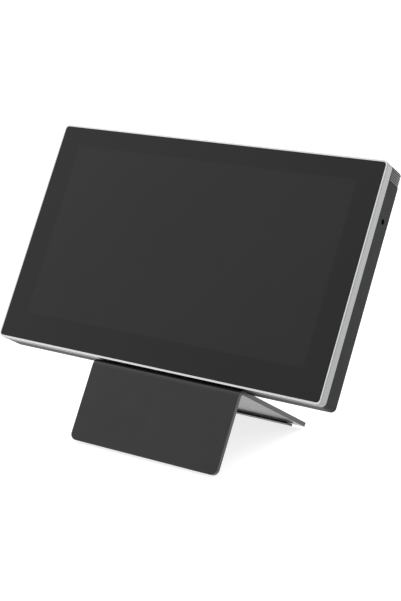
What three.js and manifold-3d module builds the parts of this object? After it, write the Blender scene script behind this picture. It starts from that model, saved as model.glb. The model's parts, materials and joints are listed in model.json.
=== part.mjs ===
// Tabletop touch display: a ten-inch glass-fronted unit that leans back on a bent-sheet stand.
// Units are millimetres. Inside the leaning group x runs to the viewer's right, y runs from the
// glass towards the back of the case, and z runs up the screen. The glass front is at y = 0.

import * as THREE from "three";
import { mergeVertices } from "three/addons/utils/BufferGeometryUtils.js";
import Module from "manifold-3d";

const wasm = await Module();
wasm.setup();

// ---------------------------------------------------------------- driving dimensions

const GAP = 0.3; // clearance between neighbouring pieces
const PIN_GAP = 0.15; // clearance round the hinge pins
const LEAN_DEG = 30; // how far the screen leans back from upright

const GLASS = { w: 255.6, h: 156.4, t: 1.2, r: 2.2 };
const LIP = 1.35; // bright metal edge seen round the glass
const FRAME = { w: GLASS.w + 2 * (GAP + LIP), h: GLASS.h + 2 * (GAP + LIP), depth: 7.2, r: 3.6 };
const LEDGE = { front: 2.4, back: 3.6, openW: 242, openH: 145 };
const FRAME_WALL = 2.4;

const CASE = { depth: 23.3, wall: 2.2, backEdge: 1.8, inset: 0.1 };
const CASE_FRONT = FRAME.depth + GAP;

const PANEL = { w: 232, h: 140, t: 2.6, z: 1.5 };
const BACKLIGHT_T = 1.9;
const CHASSIS = { w: 248, h: 149, t: 1 };

const SHEET = 3; // thickness of the stand's sheet
const BEND = 5; // outside radius of the stand's fold
const STAND = { left: -43.8, right: 72.4, front: 0.2, armEnd: 94.8 };
const FOOT_CORNER = 4.5;
const ARM_CORNER = 0.7;
const PAD = { w: 98, h: 8.5, armT: 1.4, footT: 1.2, footH: 8, edge: 1, worn: 0.2 };

const HINGE = { inset: 26, width: 15, pinR: 0.9, barrelR: 1.7, cheek: 5 };
const BUTTON = { depth: 3.2, flange: 0.9, travel: 0.4, y: 14.5 };

const VENT = { ribs: 6, pitch: 1.5, rib: 0.65, drop: 1.65, length: 12 };
const JACK = { z: 43.9, y: 14.3, r: 1.75 };

// ---------------------------------------------------------------- derived places

const TOP = FRAME.h / 2;
const SIDE = FRAME.w / 2;
const ARM_TOP = -TOP - GAP;
const STAND_MID = (STAND.left + STAND.right) / 2;
const STAND_W = STAND.right - STAND.left;
const AXIS = { y: STAND.front + BEND, z: ARM_TOP - BEND };
const ARM_UNDER = ARM_TOP - SHEET;
const FOOT_BACK = STAND.front + SHEET;
const HINGE_X = [STAND_MID - HINGE.inset, STAND_MID + HINGE.inset];
const CHASSIS_Y = CASE_FRONT;
const BOARD_Y = CHASSIS_Y + CHASSIS.t + 3;

// How far a point of the leaning group lies below the glass centre once it leans.
const LEAN = THREE.MathUtils.degToRad(LEAN_DEG);
const drop = (y, z) => y * Math.sin(LEAN) - z * Math.cos(LEAN);
const heightAt = (y, depth) => (y * Math.sin(LEAN) - depth) / Math.cos(LEAN);
const padCorner = { y: STAND.armEnd - PAD.edge, z: ARM_UNDER - GAP - PAD.armT };
const GROUND = drop(padCorner.y, padCorner.z) - PAD.worn;
const FOOT_END = heightAt(FOOT_BACK, GROUND - 0.2);

// ---------------------------------------------------------------- materials

const finish = (color, roughness, metalness) =>
  new THREE.MeshStandardMaterial({ color, roughness, metalness });

const blackGlass = finish(0x17181a, 0.08, 0);
const aluminium = finish(0xb4b6b8, 0.35, 1);
const charcoal = finish(0x33353a, 0.6, 0);
const standPaint = finish(0x3a3c40, 0.5, 0.3);
const rubber = finish(0x141414, 0.9, 0);
const steel = finish(0x8c8f92, 0.35, 1);
const darkSteel = finish(0x3c3e42, 0.45, 1);
const board = finish(0x1c4a2e, 0.6, 0);
const blackPlastic = finish(0x1b1c1e, 0.5, 0);
const filmWhite = finish(0xd9dbdc, 0.5, 0);
const brass = finish(0xc9a34a, 0.3, 1);
const cellWrap = finish(0x2b2d33, 0.55, 0);

// ---------------------------------------------------------------- geometry helpers

// Weld a geometry, drop collapsed triangles and turn its faces outwards.
function closed(geometry) {
  geometry.deleteAttribute("normal");
  geometry.deleteAttribute("uv");
  const welded = mergeVertices(geometry, 1e-4);
  const at = (i) => new THREE.Vector3().fromBufferAttribute(welded.attributes.position, i);
  const kept = [];
  let volume = 0;
  for (let i = 0; i < welded.index.count; i += 3) {
    const [a, b, c] = [0, 1, 2].map((k) => welded.index.getX(i + k));
    if (a === b || b === c || c === a) continue;
    kept.push(a, b, c);
    volume += at(a).dot(at(b).cross(at(c)));
  }
  if (volume < 0) kept.reverse();
  welded.setIndex(kept);
  return welded;
}

function solid(geometry) {
  const body = closed(geometry);
  return new wasm.Manifold(
    new wasm.Mesh({
      numProp: 3,
      vertProperties: new Float32Array(body.attributes.position.array),
      triVerts: new Uint32Array(body.index.array),
    }),
  );
}

function faceted(body) {
  const { vertProperties, triVerts, numProp } = body.getMesh();
  const geometry = new THREE.BufferGeometry();
  const places = new Float32Array((vertProperties.length / numProp) * 3);
  for (let i = 0; i < places.length / 3; i += 1) {
    for (let k = 0; k < 3; k += 1) places[3 * i + k] = vertProperties[numProp * i + k];
  }
  geometry.setAttribute("position", new THREE.BufferAttribute(places, 3));
  geometry.setIndex(new THREE.BufferAttribute(new Uint32Array(triVerts), 1));
  return geometry;
}

// Extrudes an outline drawn in (x, y) upwards between two heights.
const lift = (shape, z0, z1) =>
  solid(
    new THREE.ExtrudeGeometry(shape, { depth: z1 - z0, bevelEnabled: false, curveSegments: 4 })
      .translate(0, 0, z0),
  );

const cut = (body, ...tools) => tools.reduce((left, tool) => left.subtract(tool), body);
const join = (body, ...more) => more.reduce((sum, extra) => sum.add(extra), body);

function roundedRect(w, h, r, cx = 0, cz = 0) {
  const [x, z] = [cx - w / 2, cz - h / 2];
  const shape = new THREE.Shape();
  shape.moveTo(x + r, z);
  shape.lineTo(x + w - r, z);
  shape.absarc(x + w - r, z + r, r, -Math.PI / 2, 0);
  shape.lineTo(x + w, z + h - r);
  shape.absarc(x + w - r, z + h - r, r, 0, Math.PI / 2);
  shape.lineTo(x + r, z + h);
  shape.absarc(x + r, z + h - r, r, Math.PI / 2, Math.PI);
  shape.lineTo(x, z + r);
  shape.absarc(x + r, z + r, r, Math.PI, 1.5 * Math.PI);
  return shape;
}

// A shape drawn in x and z, made solid from depth y0 to depth y1.
function slab(shape, y0, y1, curveSegments = 2) {
  const geometry = new THREE.ExtrudeGeometry(shape, {
    depth: y1 - y0,
    bevelEnabled: false,
    curveSegments,
  });
  return solid(geometry.rotateX(Math.PI / 2).translate(0, y1, 0));
}

const plate = (w, h, r, y0, y1, cx = 0, cz = 0) => slab(roundedRect(w, h, r, cx, cz), y0, y1);
const finePlate = (w, h, r, y0, y1) => slab(roundedRect(w, h, r), y0, y1, 5);

function block(x0, x1, y0, y1, z0, z1) {
  const geometry = new THREE.BoxGeometry(x1 - x0, y1 - y0, z1 - z0);
  return solid(geometry.translate((x0 + x1) / 2, (y0 + y1) / 2, (z0 + z1) / 2));
}

// Round bars along each axis of the leaning group.
function barX(r, x0, x1, y, z, sides = 16) {
  const geometry = new THREE.CylinderGeometry(r, r, x1 - x0, sides);
  return solid(geometry.rotateZ(Math.PI / 2).translate((x0 + x1) / 2, y, z));
}

function barY(r, y0, y1, x, z, sides = 12) {
  const geometry = new THREE.CylinderGeometry(r, r, y1 - y0, sides);
  return solid(geometry.translate(x, (y0 + y1) / 2, z));
}

function barZ(r, z0, z1, x, y, sides = 12) {
  const geometry = new THREE.CylinderGeometry(r, r, z1 - z0, sides);
  return solid(geometry.rotateX(Math.PI / 2).translate(x, y, (z0 + z1) / 2));
}

// A screw with a domed head, its shank running towards -y from the seat at y = 0.
function screw(headR, headH, shankR, length, sides = 10) {
  const outline = [
    [0, headH],
    [headR * 0.8, headH * 0.8],
    [headR, 0],
    [shankR, 0],
    [shankR, -length],
    [0, -length],
  ].map(([r, y]) => new THREE.Vector2(r, y));
  const driver = barY(headR * 0.36, headH * 0.5, headH + 1, 0, 0, 6);
  return cut(solid(new THREE.LatheGeometry(outline, sides)), driver);
}

// ---------------------------------------------------------------- scene graph

const object = new THREE.Group();
const lean = new THREE.Group();
const stand = new THREE.Group();
const display = new THREE.Group();
lean.rotation.x = -LEAN;
lean.add(stand, display);
object.add(lean);

function part(group, name, body, material) {
  const mesh = new THREE.Mesh(faceted(body), material);
  mesh.name = name;
  group.add(mesh);
  return mesh;
}

// ---------------------------------------------------------------- glass front and frame

part(display, "cover_glass", finePlate(GLASS.w, GLASS.h, GLASS.r, 0, GLASS.t), blackGlass);

const gasketBack = LEDGE.front - GAP;
const gasket = cut(
  plate(GLASS.w - 0.6, GLASS.h - 0.6, 2, GLASS.t + GAP, gasketBack),
  plate(GLASS.w - 7, GLASS.h - 7, 1.5, 0, FRAME.depth),
);
part(display, "glass_gasket", gasket, rubber);

const sensor = plate(GLASS.w - 8, GLASS.h - 8, 1.5, GLASS.t + GAP, GLASS.t + GAP + 0.5);
part(display, "touch_sensor", sensor, blackGlass);

// The frame is one machined ring: glass pocket in front, ledge, and a deeper pocket behind.
const pocketW = GLASS.w + 2 * GAP;
const pocketH = GLASS.h + 2 * GAP;
const rearW = FRAME.w - 2 * FRAME_WALL;
const rearH = FRAME.h - 2 * FRAME_WALL;
let frame = cut(
  finePlate(FRAME.w, FRAME.h, FRAME.r, 0, FRAME.depth),
  finePlate(pocketW, pocketH, GLASS.r + 0.1, -1, LEDGE.front),
  plate(LEDGE.openW, LEDGE.openH, 1.5, 0, FRAME.depth + 1),
  plate(rearW, rearH, 1.2, LEDGE.back, FRAME.depth + 1),
);
const BOSS = { x: rearW / 2 - 6.5, z: [-58, 58], r: 2.9 };
for (const side of [-1, 1]) {
  for (const z of BOSS.z) {
    const boss = barY(BOSS.r, LEDGE.back - 0.2, FRAME.depth, side * BOSS.x, z);
    frame = join(frame, boss);
    frame = cut(frame, barY(1.6, LEDGE.back + 1, FRAME.depth + 1, side * BOSS.x, z));
  }
}

// Slots that let the two hinge knuckles up through the bottom of the frame and case.
// At rest each neck rises behind the fold's crest, so the front of the sheet stays whole.
const neck = { front: AXIS.y + 1.2, back: AXIS.y + 5, top: -TOP + 4.6 };
const neckSlots = HINGE_X.map((x) =>
  block(
    x - HINGE.width / 2 - GAP,
    x + HINGE.width / 2 + GAP,
    neck.front - GAP,
    neck.back + GAP,
    -TOP - 2,
    neck.top + GAP,
  ),
);
frame = cut(frame, ...neckSlots);

const micX = -18;
frame = cut(frame, barZ(0.5, TOP - 4, TOP + 1, micX, 5.4, 10));
part(display, "mid_frame", frame, aluminium);

// ---------------------------------------------------------------- picture unit

const panelBack = LEDGE.front + PANEL.t;
const panel = plate(PANEL.w, PANEL.h, 1, LEDGE.front, panelBack, 0, PANEL.z);
part(display, "lcd_panel", panel, blackGlass);

const backlightFront = panelBack + GAP;
const backlight = plate(PANEL.w, PANEL.h, 1, backlightFront, backlightFront + BACKLIGHT_T, 0, PANEL.z);
part(display, "backlight_unit", backlight, filmWhite);

// ---------------------------------------------------------------- inner chassis and electronics

const BOARD = { x: 44, z: 5, w: 132, h: 76, t: 1.6 };
const BATTERY = { x: -70, z: 8, w: 84, h: 84, t: 6 };
const boardHoles = [
  [BOARD.x - BOARD.w / 2 + 5, BOARD.z - BOARD.h / 2 + 5],
  [BOARD.x + BOARD.w / 2 - 5, BOARD.z - BOARD.h / 2 + 5],
  [BOARD.x - BOARD.w / 2 + 5, BOARD.z + BOARD.h / 2 - 5],
  [BOARD.x + BOARD.w / 2 - 5, BOARD.z + BOARD.h / 2 - 5],
];

let chassis = plate(CHASSIS.w, CHASSIS.h, 2, CHASSIS_Y, CHASSIS_Y + CHASSIS.t);
for (const [x, z] of boardHoles) {
  chassis = join(chassis, barY(2.8, CHASSIS_Y + 0.2, BOARD_Y - GAP, x, z));
  chassis = cut(chassis, barY(1.5, CHASSIS_Y + CHASSIS.t, BOARD_Y + 1, x, z));
}
const slotX = 30;
for (const x of [-90, -30, 30, 90]) {
  for (const z of [-66, 66]) {
    chassis = cut(chassis, plate(slotX, 3, 1.4, CHASSIS_Y - 1, CHASSIS_Y + 2, x, z));
  }
}
for (const side of [-1, 1]) {
  for (const z of BOSS.z) {
    chassis = cut(chassis, barY(1.6, CHASSIS_Y - 1, CHASSIS_Y + 2, side * BOSS.x, z));
  }
}
const CASE_SCREW = { x: 113, z: [-64, 62], headR: 2.8, seat: CASE.depth - 2.2 };
for (const side of [-1, 1]) {
  for (const z of CASE_SCREW.z) {
    const x = side * CASE_SCREW.x;
    chassis = join(chassis, barY(3.4, CHASSIS_Y + 0.2, CHASSIS_Y + 2.2, x, z));
    chassis = cut(chassis, barY(1.6, CHASSIS_Y - 1, CHASSIS_Y + 3, x, z));
  }
}
const FLANGE = {
  half: 13,
  t: 1.8,
  bottom: -TOP + 4,
  top: -TOP + 13,
  screwX: 10,
  screwZ: -TOP + 9.5,
};
const flangeScrews = HINGE_X.flatMap((x) => [x - FLANGE.screwX, x + FLANGE.screwX]);
for (const x of flangeScrews) {
  chassis = cut(chassis, barY(1.5, CHASSIS_Y - 1, CHASSIS_Y + 2, x, FLANGE.screwZ));
}
chassis = cut(chassis, ...neckSlots);
part(display, "chassis_plate", chassis, steel);

const chassisSeat = CHASSIS_Y + CHASSIS.t + GAP;
let chassisScrew = 0;
for (const side of [-1, 1]) {
  for (const z of BOSS.z) {
    chassisScrew += 1;
    const body = screw(2.5, 1.4, 1.2, 4.2);
    part(display, `chassis_screw_${chassisScrew}`, body, steel).position.set(
      side * BOSS.x,
      chassisSeat,
      z,
    );
  }
}

// Main board with its larger parts soldered on, so they share the board's node.
const boardBack = BOARD_Y + BOARD.t;
let mainBoard = plate(BOARD.w, BOARD.h, 2, BOARD_Y, boardBack, BOARD.x, BOARD.z);
const chips = [
  [BOARD.x + 38, BOARD.z + 24, 16, 12, 1.1],
  [BOARD.x + 38, BOARD.z + 4, 16, 12, 1.1],
  [BOARD.x - 46, BOARD.z + 22, 14, 14, 1.2],
  [BOARD.x - 44, BOARD.z - 20, 9, 9, 2.6],
  [BOARD.x - 28, BOARD.z - 24, 9, 9, 2.6],
  [BOARD.x + 14, BOARD.z - 30, 24, 5, 2.2],
];
for (const [x, z, w, h, t] of chips) {
  mainBoard = join(mainBoard, plate(w, h, 0.6, boardBack - 0.2, boardBack + t, x, z));
}
for (const [x, z] of boardHoles) {
  mainBoard = cut(mainBoard, barY(1.6, BOARD_Y - 1, boardBack + 1, x, z));
}
part(display, "main_board", mainBoard, board);

boardHoles.forEach(([x, z], i) => {
  const body = screw(2.4, 1.3, 1.1, 4);
  part(display, `board_screw_${i + 1}`, body, steel).position.set(x, boardBack + GAP, z);
});

const SHIELD = { x: BOARD.x - 2, z: BOARD.z + 14, w: 40, h: 34, t: 2.2 };
const shieldFront = boardBack + GAP;
const shield = plate(SHIELD.w, SHIELD.h, 1, shieldFront, shieldFront + SHIELD.t, SHIELD.x, SHIELD.z);
part(display, "processor_shield", shield, steel);

const spreaderFront = shieldFront + SHIELD.t + GAP;
let spreader = plate(92, 58, 3, spreaderFront, spreaderFront + 1, SHIELD.x, SHIELD.z);
for (let i = -5; i <= 5; i += 1) {
  const x = SHIELD.x + i * 7;
  spreader = join(spreader, block(x - 0.6, x + 0.6, spreaderFront + 0.9, spreaderFront + 2.6,
    SHIELD.z - 25, SHIELD.z + 25));
}
part(display, "heat_spreader", spreader, aluminium);

let battery = cut(
  plate(BATTERY.w, BATTERY.h, 3, chassisSeat, chassisSeat + BATTERY.t, BATTERY.x, BATTERY.z),
  block(BATTERY.x - 0.5, BATTERY.x + 0.5, chassisSeat + BATTERY.t - 1, 30, -80, 80),
);
battery = cut(battery, block(-200, 200, chassisSeat + 2, 30, BATTERY.z + 36, 200));
part(display, "battery_pack", battery, cellWrap);

// ---------------------------------------------------------------- rear shell

const shellW = FRAME.w - 2 * CASE.inset;
const shellH = FRAME.h - 2 * CASE.inset;

// A rounded block whose back edge turns inwards on a full radius, cut off square in front.
function tub(w, h, r, edge, y0, y1) {
  const geometry = new THREE.ExtrudeGeometry(roundedRect(w - 2 * edge, h - 2 * edge, r - edge), {
    depth: y1 - y0,
    bevelThickness: edge,
    bevelSize: edge,
    bevelSegments: 3,
    curveSegments: 5,
  });
  const whole = solid(geometry.rotateX(Math.PI / 2).translate(0, y1 - edge, 0));
  return cut(whole, block(-400, 400, y0 - 60, y0, -300, 300));
}

const innerBack = CASE.depth - CASE.wall;
let shell = cut(
  tub(shellW, shellH, FRAME.r - CASE.inset, CASE.backEdge, CASE_FRONT, CASE.depth),
  plate(shellW - 2 * CASE.wall, shellH - 2 * CASE.wall, 1.4, CASE_FRONT - 1, innerBack),
  ...neckSlots,
);

// Windows at the top of each end: they run round the back corner and hold the vent fins.
const ventTop = TOP - VENT.drop;
const ventBottom = ventTop - VENT.ribs * VENT.pitch;
const ventFront = CASE_FRONT + 0.7;
const ventWindow = (side) => {
  const [near, far] = [SIDE - VENT.length, SIDE + 1].map((x) => side * x);
  return block(Math.min(near, far), Math.max(near, far), ventFront, CASE.depth + 1, ventBottom, ventTop);
};

// Rear speaker slots low on each side of the back.
const SPEAKER = { x: 96, z: -46, w: 36, h: 16, t: 6.5 };
const speakerSlots = [];
for (const side of [-1, 1]) {
  for (let i = -2; i <= 2; i += 1) {
    const z = SPEAKER.z + i * 2.6;
    speakerSlots.push(plate(30, 1.2, 0.55, innerBack - 1, CASE.depth + 1, side * SPEAKER.x, z));
  }
}

const POWER = { x: 96, w: 12 };
const VOLUME = { x: [62, 78], w: 12 };
const buttons = [
  { name: "power_button", x: POWER.x, w: POWER.w },
  { name: "volume_down_button", x: VOLUME.x[0], w: VOLUME.w },
  { name: "volume_up_button", x: VOLUME.x[1], w: VOLUME.w },
];
const buttonHole = ({ x, w }) => {
  const shape = roundedRect(w + 2 * GAP, BUTTON.depth + 2 * GAP, 1.7, x, BUTTON.y);
  return lift(shape, TOP - 6, TOP + 6);
};

// Cable socket in the lower left of the back, inside a shallow scooped recess.
const PORT = { x: -88, z: -12, w: 9, h: 3.3, y: 20 };
const portHole = plate(PORT.w, PORT.h, 1.6, innerBack - 1, CASE.depth + 1, PORT.x, PORT.z);
const portScoop = plate(26, 12, 3, CASE.depth - 0.8, CASE.depth + 1, PORT.x, PORT.z);

// Blind holes in the bottom wall for the two rest bumpers.
const BUMPER = { r: 4, y: 15.5, x: [STAND_MID - 44, STAND_MID + 44], h: 1.2 };
const bumperHoles = BUMPER.x.map((x) => barZ(BUMPER.r + GAP, -TOP - 1, -TOP + 1.5, x, BUMPER.y));

// Case screws come in from the back, in counterbores near the corners.
const caseScrewHoles = [];
for (const side of [-1, 1]) {
  for (const z of CASE_SCREW.z) {
    const x = side * CASE_SCREW.x;
    const post = barY(4.4, CASE_FRONT + 2.5, innerBack + 0.2, x, z);
    shell = join(shell, post);
    caseScrewHoles.push(barY(1.7, CASE_FRONT, CASE.depth + 1, x, z));
    caseScrewHoles.push(barY(CASE_SCREW.headR + GAP, CASE_SCREW.seat, CASE.depth + 1, x, z));
  }
}
shell = cut(
  shell,
  ventWindow(1),
  ventWindow(-1),
  ...speakerSlots,
  ...buttons.map(buttonHole),
  portScoop,
  portHole,
  ...bumperHoles,
  ...caseScrewHoles,
  barX(JACK.r + 0.2, SIDE - 4, SIDE + 1, JACK.y, JACK.z),
);
part(display, "rear_shell", shell, charcoal);

let caseScrew = 0;
for (const side of [-1, 1]) {
  for (const z of CASE_SCREW.z) {
    caseScrew += 1;
    const body = screw(CASE_SCREW.headR, 1.5, 1.2, 12.5);
    part(display, `case_screw_${caseScrew}`, body, darkSteel).position.set(
      side * CASE_SCREW.x,
      CASE_SCREW.seat + GAP,
      z,
    );
  }
}

// ---------------------------------------------------------------- vent fins

// Each set of fins is a comb: thin ribs that turn the back corner, held by one inner spine.
function ventFins(side) {
  const edge = CASE.backEdge;
  const outerX = SIDE - CASE.inset - 0.15;
  const innerX = SIDE - VENT.length + GAP;
  const back = CASE.depth - 0.15;
  const outline = new THREE.Shape();
  outline.moveTo(innerX, back - 3);
  outline.lineTo(outerX - 5, back - 3);
  outline.lineTo(outerX - 2.6, back - 5.4);
  outline.lineTo(outerX - 2.6, ventFront + GAP);
  outline.lineTo(outerX, ventFront + GAP);
  outline.lineTo(outerX, back - edge);
  outline.absarc(outerX - edge, back - edge, edge, 0, Math.PI / 2);
  outline.lineTo(innerX, back);
  const spine = new THREE.Shape();
  spine.moveTo(outerX - 4, ventFront + GAP);
  spine.lineTo(outerX - 2.4, ventFront + GAP);
  spine.lineTo(outerX - 2.4, back - 5.2);
  spine.lineTo(outerX - 4.8, back - 2.8);
  spine.lineTo(innerX, back - 2.8);
  spine.lineTo(innerX, back - 4.6);
  spine.lineTo(outerX - 5.6, back - 4.6);
  spine.lineTo(outerX - 4, back - 6.2);
  let comb = lift(spine, ventBottom + GAP, ventTop - GAP);
  for (let i = 0; i < VENT.ribs; i += 1) {
    const top = ventTop - GAP - 0.38 - i * ((ventTop - ventBottom - 2 * GAP) / VENT.ribs);
    comb = join(comb, lift(outline, top - VENT.rib, top));
  }
  return side > 0 ? comb : comb.mirror([1, 0, 0]);
}
part(display, "vent_fins_right", ventFins(1), aluminium);
part(display, "vent_fins_left", ventFins(-1), aluminium);

// ---------------------------------------------------------------- sockets, sound and radio

const jackInner = SIDE - CASE.inset - CASE.wall - GAP;
const jack = cut(
  block(jackInner - 12, jackInner, JACK.y - 3.3, JACK.y + 3.3, JACK.z - 3.3, JACK.z + 3.3),
  barX(JACK.r, jackInner - 11, jackInner + 1, JACK.y, JACK.z),
);
part(display, "audio_jack", jack, blackPlastic);

const socketBack = innerBack - GAP;
const port = cut(
  plate(PORT.w + 1.4, PORT.h + 1.4, 1.8, socketBack - 5, socketBack, PORT.x, PORT.z),
  plate(PORT.w - 0.4, PORT.h - 0.4, 1.2, socketBack - 4.4, socketBack + 1, PORT.x, PORT.z),
);
const portTongue = plate(PORT.w - 2.6, 0.7, 0.3, socketBack - 4.6, socketBack - 0.8, PORT.x, PORT.z);
part(display, "power_socket", join(port, portTongue), steel);

for (const [side, hand] of [[-1, "left"], [1, "right"]]) {
  const x = side * SPEAKER.x;
  const front = innerBack - GAP - SPEAKER.t;
  const box = cut(
    plate(SPEAKER.w, SPEAKER.h, 3, front, innerBack - GAP, x, SPEAKER.z),
    plate(SPEAKER.w - 4, SPEAKER.h - 4, 2, innerBack - GAP - 2, innerBack, x, SPEAKER.z),
  );
  part(display, `speaker_box_${hand}`, box, blackPlastic);
  const coneBack = innerBack - GAP - 0.9;
  const cone = cut(
    plate(SPEAKER.w - 5, SPEAKER.h - 5, 1.8, coneBack - 0.8, coneBack, x, SPEAKER.z),
    plate(SPEAKER.w - 16, SPEAKER.h - 9, 1, coneBack - 0.4, coneBack + 1, x, SPEAKER.z),
  );
  part(display, `speaker_cone_${hand}`, cone, rubber);
}

for (const [x, hand] of [[-60, "left"], [30, "right"]]) {
  const strip = plate(34, 6, 0.8, BOARD_Y, BOARD_Y + 0.5, x, TOP - 8.6);
  part(display, `antenna_${hand}`, strip, brass);
}

const micBody = block(micX - 2.2, micX + 2.2, 3.9, 6.9, TOP - 4.4, TOP - FRAME_WALL - GAP);
part(display, "microphone", micBody, steel);

// ---------------------------------------------------------------- buttons and their switch board

const capTop = TOP - CASE.inset + 0.7;
const innerTop = shellH / 2 - CASE.wall;
const flangeTop = innerTop - GAP;
for (const { name, x, w } of buttons) {
  const cap = join(
    lift(roundedRect(w, BUTTON.depth, 1.5, x, BUTTON.y), flangeTop - 0.1, capTop),
    lift(roundedRect(w + 2.4, BUTTON.depth + 2.4, 1.2, x, BUTTON.y), flangeTop - BUTTON.flange, flangeTop),
  );
  part(display, name, cap, name === "power_button" ? aluminium : charcoal);
}

const switchTop = flangeTop - BUTTON.flange - BUTTON.travel - GAP;
const boardTop = switchTop - 1.5;
let switchBoard = block(VOLUME.x[0] - 9, POWER.x + 9, BUTTON.y - 3, BUTTON.y + 3, boardTop - 1, boardTop);
for (const { x } of buttons) {
  switchBoard = join(
    switchBoard,
    block(x - 2.2, x + 2.2, BUTTON.y - 1.8, BUTTON.y + 1.8, boardTop - 0.2, switchTop - 0.4),
    barZ(1, switchTop - 0.6, switchTop, x, BUTTON.y, 12),
  );
}
part(display, "switch_board", switchBoard, board);

// ---------------------------------------------------------------- rest bumpers

["left", "right"].forEach((hand, i) => {
  const pad = barZ(BUMPER.r, -TOP, -TOP + BUMPER.h, BUMPER.x[i], BUMPER.y, 24);
  part(display, `rest_bumper_${hand}`, pad, rubber);
});

// ---------------------------------------------------------------- hinge in the stand's fold

const knuckleHalf = HINGE.width / 2;
const flangeBack = chassisSeat + FLANGE.t;
const CHEEK = { reach: 8, screwR: 1.1, headR: 2.2, screwY: AXIS.y + 5.2 };
const cheekX = [];
["left", "right"].forEach((hand, i) => {
  const x = HINGE_X[i];
  const [left, right] = [x - knuckleHalf, x + knuckleHalf];
  const knuckle = cut(
    join(
      barX(HINGE.barrelR, left, right, AXIS.y, AXIS.z, 32),
      block(left, right, neck.front, neck.back, AXIS.z - HINGE.barrelR, neck.top),
      block(left, right, AXIS.y, neck.back, AXIS.z - HINGE.barrelR, AXIS.z + HINGE.barrelR),
      block(x - FLANGE.half, x + FLANGE.half, chassisSeat, flangeBack, FLANGE.bottom, FLANGE.top),
    ),
    barX(HINGE.pinR + PIN_GAP, x - 20, x + 20, AXIS.y, AXIS.z),
    barY(1.5, chassisSeat - 1, chassisSeat + 3, x - FLANGE.screwX, FLANGE.screwZ),
    barY(1.5, chassisSeat - 1, chassisSeat + 3, x + FLANGE.screwX, FLANGE.screwZ),
  );
  part(display, `hinge_knuckle_${hand}`, knuckle, darkSteel);

  // Steel cheeks in the inside corner of the fold carry the pin on each side of the knuckle.
  const reach = knuckleHalf + 0.5;
  [-1, 1].forEach((side) => {
    const near = x + side * reach;
    const far = x + side * (reach + HINGE.cheek);
    const [x0, x1] = [Math.min(near, far), Math.max(near, far)];
    const inner = BEND - SHEET - GAP;
    const cheek = cut(
      join(
        barX(inner, x0, x1, AXIS.y, AXIS.z),
        block(x0, x1, AXIS.y - inner, AXIS.y + CHEEK.reach, AXIS.z - CHEEK.reach, AXIS.z),
        block(x0, x1, AXIS.y, AXIS.y + CHEEK.reach, AXIS.z - 1, AXIS.z + inner),
      ),
      barX(HINGE.pinR + PIN_GAP, x0 - 1, x1 + 1, AXIS.y, AXIS.z),
      barZ(CHEEK.screwR + GAP, AXIS.z - 3, AXIS.z + 8, (x0 + x1) / 2, CHEEK.screwY, 12),
    );
    const number = 2 * i + (side < 0 ? 1 : 2);
    part(stand, `hinge_cheek_${number}`, cheek, darkSteel);
    cheekX.push((x0 + x1) / 2);
    const fixing = join(
      barZ(CHEEK.screwR, AXIS.z - 1.5, ARM_TOP - 1, cheekX.at(-1), CHEEK.screwY, 12),
      cut(
        barZ(CHEEK.headR, ARM_TOP - 1.3, ARM_TOP - 0.1, cheekX.at(-1), CHEEK.screwY, 16),
        barZ(0.9, ARM_TOP - 0.7, ARM_TOP + 1, cheekX.at(-1), CHEEK.screwY, 6),
      ),
    );
    part(stand, `stand_screw_${number}`, fixing, steel);
  });

  [-1, 1].forEach((side) => {
    const number = 2 * i + (side < 0 ? 1 : 2);
    const body = screw(2.2, 1.2, 1.1, 3.6);
    part(display, `hinge_screw_${number}`, body, steel).position.set(
      x + side * FLANGE.screwX,
      flangeBack + GAP,
      FLANGE.screwZ,
    );
  });

  const span = reach + HINGE.cheek + 0.6;
  const pin = join(
    barX(HINGE.pinR, x - span, x + span, AXIS.y, AXIS.z),
    barX(1.45, x + span - 0.2, x + span + 0.8, AXIS.y, AXIS.z),
  );
  part(stand, `hinge_pin_${hand}`, pin, steel);
});

// ---------------------------------------------------------------- stand

// Side outline of the sheet: foot down the front, a rounded fold, and the arm towards the back.
function sheetOutline() {
  const ease = 0.25;
  const outline = new THREE.Shape();
  outline.moveTo(STAND.front + ease, FOOT_END);
  outline.lineTo(FOOT_BACK - ease, FOOT_END);
  outline.lineTo(FOOT_BACK, FOOT_END + ease);
  outline.lineTo(FOOT_BACK, AXIS.z);
  outline.absarc(AXIS.y, AXIS.z, BEND - SHEET, Math.PI, Math.PI / 2, true);
  outline.lineTo(STAND.armEnd - ease, ARM_UNDER);
  outline.lineTo(STAND.armEnd, ARM_UNDER + ease);
  outline.lineTo(STAND.armEnd, ARM_TOP - ease);
  outline.lineTo(STAND.armEnd - ease, ARM_TOP);
  outline.lineTo(AXIS.y, ARM_TOP);
  outline.absarc(AXIS.y, AXIS.z, BEND, Math.PI / 2, Math.PI, false);
  outline.lineTo(STAND.front, FOOT_END + ease);
  return outline;
}

const sheetGeometry = new THREE.ExtrudeGeometry(sheetOutline(), {
  depth: STAND_W,
  bevelEnabled: false,
  curveSegments: 10,
});
// The outline is drawn in (y, z): turn it so that it is extruded along x.
sheetGeometry.applyMatrix4(
  new THREE.Matrix4().makeBasis(
    new THREE.Vector3(0, 1, 0),
    new THREE.Vector3(0, 0, 1),
    new THREE.Vector3(1, 0, 0),
  ),
);
sheetGeometry.translate(STAND.left, 0, 0);
let sheet = solid(sheetGeometry);

// Round the free corners of the foot and the arm.
const footOutline = roundedRect(STAND_W, 200, FOOT_CORNER, STAND_MID, 100 + FOOT_END);
sheet = sheet.intersect(
  join(slab(footOutline, -5, FOOT_BACK + 1, 6), block(-300, 300, FOOT_BACK, 200, -200, 0)),
);
const armRect = roundedRect(STAND_W, 200, ARM_CORNER, STAND_MID, STAND.armEnd - 100);
sheet = sheet.intersect(lift(armRect, -200, 0));

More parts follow.
